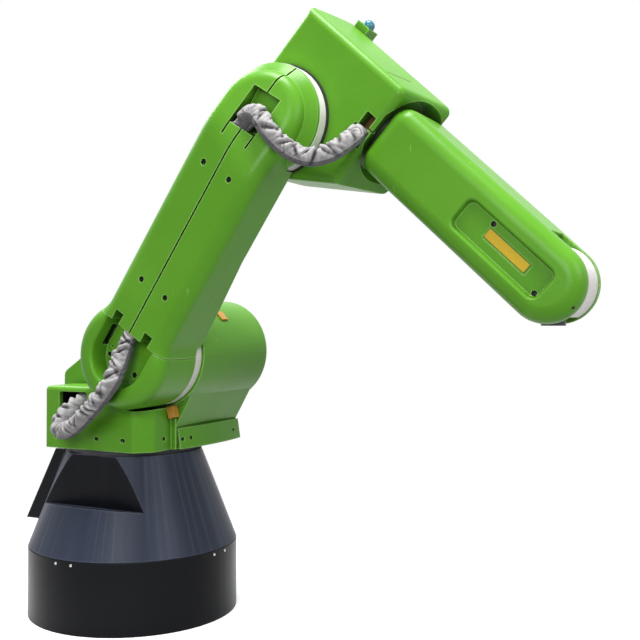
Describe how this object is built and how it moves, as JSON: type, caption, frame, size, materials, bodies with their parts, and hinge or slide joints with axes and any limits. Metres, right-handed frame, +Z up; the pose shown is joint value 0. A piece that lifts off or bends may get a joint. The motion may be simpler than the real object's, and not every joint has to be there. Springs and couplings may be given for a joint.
{
  "type": "industrial robot arm",
  "caption": "Jointed industrial robot arm with soft green covers on a round skirted pedestal, with cable sleeves and a downward tool flange.",
  "frame": {"origin": "on the floor, on the base turning axis, at the middle of the base's underside", "axes": "+Z up along the base turning axis, +X the way the arm reaches, -Y the side that carries the upper arm"},
  "size_m": [1.7601, 0.6452, 1.7801],
  "materials": {
    "green_cover": "satin soft-touch cover",
    "grey_skirt": "satin charcoal",
    "black_skirt": "black",
    "cast_base": "painted casting",
    "dark_metal": "black",
    "white_ring": "off-white satin",
    "amber_stop": "amber urethane",
    "grey_sleeve": "wrinkled woven sleeve",
    "lamp_glass": "tinted lens",
    "flange_steel": "blackened steel"
  },
  "bodies": {
    "base": {"base_plate": "cast_base", "base_drum": "black_skirt", "cone_skirt": "grey_skirt", "rear_hood": "grey_skirt", "slew_ring": "dark_metal"},
    "turntable": {"shoulder_housing": "green_cover", "cable_box_cover": "green_cover", "front_apron": "green_cover", "shoulder_ring": "white_ring", "stop_block_upper": "amber_stop", "stop_block_lower": "amber_stop", "shoulder_sleeve": "grey_sleeve"},
    "upper_arm": {"arm_cover_front": "green_cover", "arm_cover_rear": "green_cover", "arm_lower_cover": "green_cover", "cable_tray": "green_cover", "elbow_ring": "white_ring", "elbow_sleeve": "grey_sleeve"},
    "elbow": {"elbow_housing": "green_cover", "elbow_bearing": "dark_metal", "cable_port": "amber_stop", "lamp_box": "green_cover", "lamp_lens": "lamp_glass"},
    "forearm": {"forearm_neck": "dark_metal", "forearm_body": "green_cover", "forearm_near_cheek": "green_cover", "forearm_far_cheek": "green_cover"},
    "wrist": {"wrist_barrel": "white_ring"},
    "flange": {"tool_flange": "flange_steel"}
  },
  "joints": [
    {"name": "base_turn", "type": "hinge", "parent": "base", "child": "turntable", "pos_m": [0, 0, 0.5], "axis": [0, 0, 1], "range_deg": [-185, 185]},
    {"name": "shoulder", "type": "hinge", "parent": "turntable", "child": "upper_arm", "pos_m": [0.15, 0, 0.793], "axis": [0, 1, 0], "range_deg": [-98, 66], "deforming": ["shoulder_sleeve"]},
    {"name": "elbow_bend", "type": "hinge", "parent": "upper_arm", "child": "elbow", "pos_m": [0.58718, 0, 1.45101], "axis": [0, -1, 0], "range_deg": [-60, 195], "deforming": ["elbow_sleeve"]},
    {"name": "forearm_roll", "type": "hinge", "parent": "elbow", "child": "forearm", "pos_m": [0.69793, 0, 1.57061], "axis": [0.7337, 0, -0.6794], "range_deg": [-200, 200]},
    {"name": "wrist_bend", "type": "hinge", "parent": "forearm", "child": "wrist", "pos_m": [1.32747, 0, 0.98764], "axis": [0, 1, 0], "range_deg": [-155, 62]},
    {"name": "flange_turn", "type": "hinge", "parent": "wrist", "child": "flange", "pos_m": [1.32747, 0, 0.98764], "axis": [0, 0, -1], "range_deg": [-450, 450]}
  ]
}
